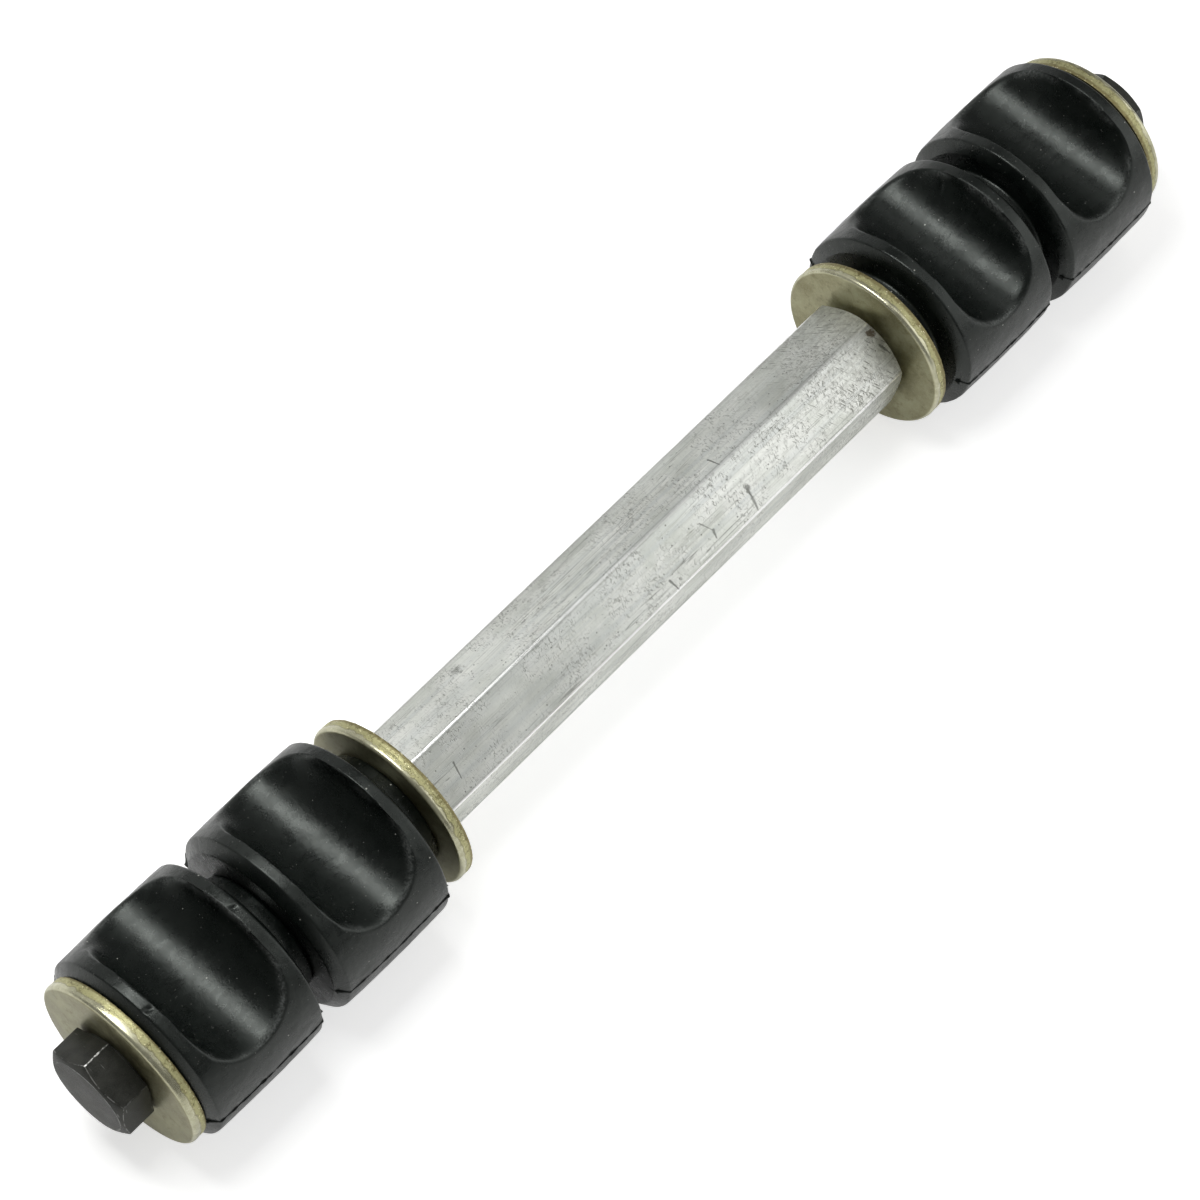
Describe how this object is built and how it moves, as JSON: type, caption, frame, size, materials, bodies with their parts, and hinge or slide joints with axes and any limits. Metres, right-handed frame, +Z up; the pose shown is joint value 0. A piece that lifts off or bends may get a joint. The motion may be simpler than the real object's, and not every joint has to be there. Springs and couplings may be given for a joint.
{
  "type": "stabilizer link",
  "caption": "Bolt-through stabilizer end link: scooped rubber bushings and flat washers stacked at both ends of a hexagonal spacer sleeve and held by a hex nut.",
  "frame": {"origin": "on the bolt's axis, at the middle of the lower eye seat between the two lower bushings", "axes": "+X along the bolt from its head to its nut, +Z up with the mould scoops up and down, +Y across along the scoops"},
  "size_m": [0.2536, 0.036, 0.0352],
  "materials": {
    "black_steel": "black phosphate on steel, worn bright along the head's edges",
    "yellow_zinc": "yellow chromated zinc on stamped steel, satin",
    "rubber": "moulded black rubber, satin",
    "drawn_aluminium": "dull drawn bar with lengthwise draw lines and handling marks"
  },
  "bodies": {
    "bolt": {"hex_bolt": "black_steel"},
    "head_washer": {"head_washer": "yellow_zinc"},
    "lower_outer_bushing": {"lower_outer_bushing": "rubber"},
    "lower_inner_bushing": {"lower_inner_bushing": "rubber"},
    "lower_sleeve_washer": {"lower_sleeve_washer": "yellow_zinc"},
    "sleeve": {"spacer_sleeve": "drawn_aluminium"},
    "upper_sleeve_washer": {"upper_sleeve_washer": "yellow_zinc"},
    "upper_inner_bushing": {"upper_inner_bushing": "rubber"},
    "upper_outer_bushing": {"upper_outer_bushing": "rubber"},
    "nut_washer": {"nut_washer": "yellow_zinc"},
    "nut": {"hex_nut": "black_steel"}
  },
  "joints": [
    {"name": "head_washer_spin", "type": "hinge", "parent": "bolt", "child": "head_washer", "pos_m": [-0.0278, 0, 0], "axis": [1, 0, 0], "continuous": true},
    {"name": "lower_outer_bushing_spin", "type": "hinge", "parent": "bolt", "child": "lower_outer_bushing", "pos_m": [-0.01235, 0, 0], "axis": [1, 0, 0], "continuous": true},
    {"name": "lower_inner_bushing_spin", "type": "hinge", "parent": "bolt", "child": "lower_inner_bushing", "pos_m": [0.01595, 0, 0], "axis": [1, 0, 0], "continuous": true},
    {"name": "lower_sleeve_washer_spin", "type": "hinge", "parent": "bolt", "child": "lower_sleeve_washer", "pos_m": [0.0314, 0, 0], "axis": [1, 0, 0], "continuous": true},
    {"name": "sleeve_spin", "type": "hinge", "parent": "bolt", "child": "sleeve", "pos_m": [0.0902, 0, 0], "axis": [1, 0, 0], "continuous": true},
    {"name": "upper_sleeve_washer_spin", "type": "hinge", "parent": "bolt", "child": "upper_sleeve_washer", "pos_m": [0.149, 0, 0], "axis": [1, 0, 0], "continuous": true},
    {"name": "upper_inner_bushing_spin", "type": "hinge", "parent": "bolt", "child": "upper_inner_bushing", "pos_m": [0.16445, 0, 0], "axis": [1, 0, 0], "continuous": true},
    {"name": "upper_outer_bushing_spin", "type": "hinge", "parent": "bolt", "child": "upper_outer_bushing", "pos_m": [0.19275, 0, 0], "axis": [1, 0, 0], "continuous": true},
    {"name": "nut_travel", "type": "slide", "parent": "bolt", "child": "nut_washer", "axis": [1, 0, 0], "range_m": [0, 0.0045]},
    {"name": "nut_turn", "type": "hinge", "parent": "nut_washer", "child": "nut", "pos_m": [0.21305, 0, 0], "axis": [1, 0, 0], "range_deg": [0, 1080.01]}
  ],
  "couplings": [
    {"joint": "nut_turn", "follows": "nut_travel", "rad_per_m": 4188.8}
  ]
}
